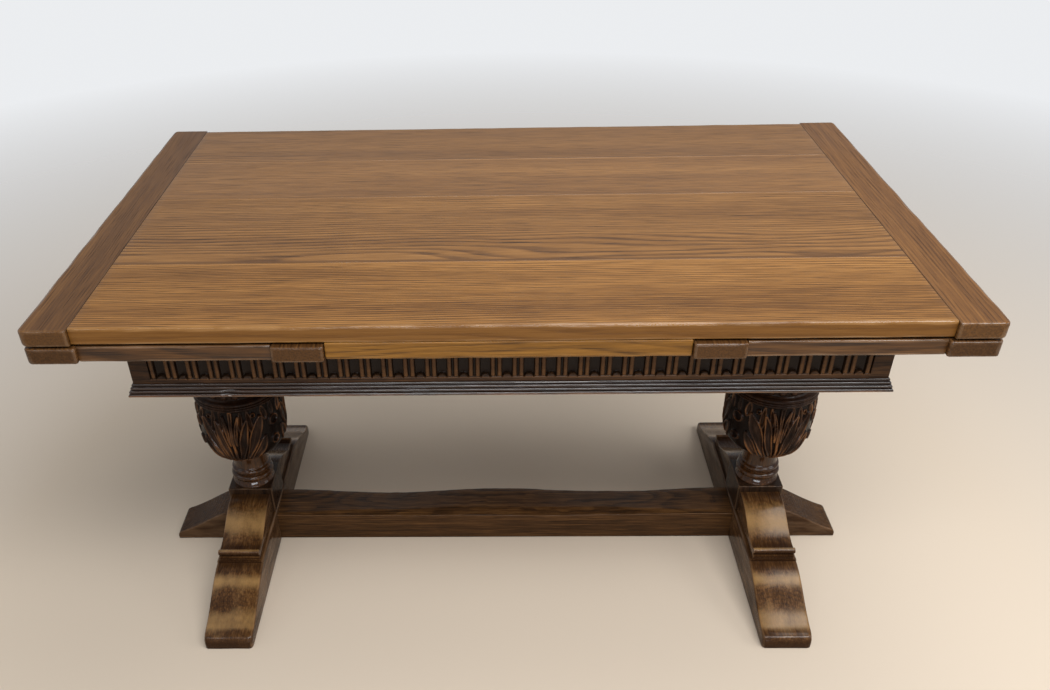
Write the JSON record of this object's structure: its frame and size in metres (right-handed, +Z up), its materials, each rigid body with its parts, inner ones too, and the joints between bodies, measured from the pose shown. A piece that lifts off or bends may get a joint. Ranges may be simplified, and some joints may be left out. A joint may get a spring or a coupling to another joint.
{
  "type": "draw-leaf dining table",
  "caption": "Oak draw-leaf table on cup-and-cover columns and sledge feet, with a loose cleated top and a leaf that draws out from under it at each end.",
  "frame": {"origin": "on the floor, under the middle of the table", "axes": "+X along the table, the way the right leaf draws; +Y away from the side seen in the picture; +Z up"},
  "size_m": [1.4576, 0.864, 0.76],
  "materials": {
    "top_oak": "waxed, golden brown, fine grain along the length",
    "cleat_oak": "waxed, red-brown, grain across the table",
    "edge_oak": "waxed, golden",
    "leaf_oak": "waxed, dark brown with worn pale arrises",
    "carved_oak": "polished, brown-black, worn lighter on the carving",
    "foot_oak": "waxed, dark with rubbed golden tops",
    "hidden_oak": "raw, matt",
    "screw_steel": "dulled"
  },
  "bodies": {
    "frame": {"bracket_back_left": "foot_oak", "bracket_back_right": "foot_oak", "bracket_front_left": "foot_oak", "bracket_front_right": "foot_oak", "centre_board": "edge_oak", "column_left": "carved_oak", "column_right": "carved_oak", "corner_block_back_left": "hidden_oak", "corner_block_back_right": "hidden_oak", "corner_block_front_left": "hidden_oak", "corner_block_front_right": "hidden_oak", "cross_bearer_left": "hidden_oak", "cross_bearer_right": "hidden_oak", "foot_left": "foot_oak", "foot_right": "foot_oak", "locating_peg_left": "hidden_oak", "locating_peg_right": "hidden_oak", "moulding_back": "carved_oak", "moulding_front": "carved_oak", "moulding_left": "carved_oak", "moulding_right": "carved_oak", "outrigger_left": "foot_oak", "outrigger_right": "foot_oak", "rail_back": "carved_oak", "rail_front": "carved_oak", "rail_left": "carved_oak", "rail_right": "carved_oak", "stretcher": "foot_oak"},
    "leaf_left": {"leaf_left_bearer_narrow": "hidden_oak", "leaf_left_bearer_wide": "hidden_oak", "leaf_left_inner_cleat": "leaf_oak", "leaf_left_outer_cleat": "leaf_oak", "leaf_left_panel": "leaf_oak", "leaf_left_screw_narrow_1": "screw_steel", "leaf_left_screw_narrow_2": "screw_steel", "leaf_left_screw_wide_1": "screw_steel", "leaf_left_screw_wide_2": "screw_steel", "leaf_left_stop_narrow": "hidden_oak", "leaf_left_stop_wide": "hidden_oak"},
    "leaf_right": {"leaf_right_bearer_narrow": "hidden_oak", "leaf_right_bearer_wide": "hidden_oak", "leaf_right_inner_cleat": "leaf_oak", "leaf_right_outer_cleat": "leaf_oak", "leaf_right_panel": "leaf_oak", "leaf_right_screw_narrow_1": "screw_steel", "leaf_right_screw_narrow_2": "screw_steel", "leaf_right_screw_wide_1": "screw_steel", "leaf_right_screw_wide_2": "screw_steel", "leaf_right_stop_narrow": "hidden_oak", "leaf_right_stop_wide": "hidden_oak"},
    "top": {"top_board_1": "top_oak", "top_board_2": "top_oak", "top_board_3": "top_oak", "top_board_4": "top_oak", "top_cleat_left": "cleat_oak", "top_cleat_right": "cleat_oak"}
  },
  "joints": [
    {"name": "leaf_draw_left", "type": "slide", "parent": "frame", "child": "leaf_left", "axis": [-1, 0, 0], "range_m": [0, 0.4425]},
    {"name": "leaf_draw_right", "type": "slide", "parent": "frame", "child": "leaf_right", "axis": [1, 0, 0], "range_m": [0, 0.4425]},
    {"name": "top_lift", "type": "slide", "parent": "frame", "child": "top", "axis": [0, 0, 1], "range_m": [0, 0.04]}
  ]
}
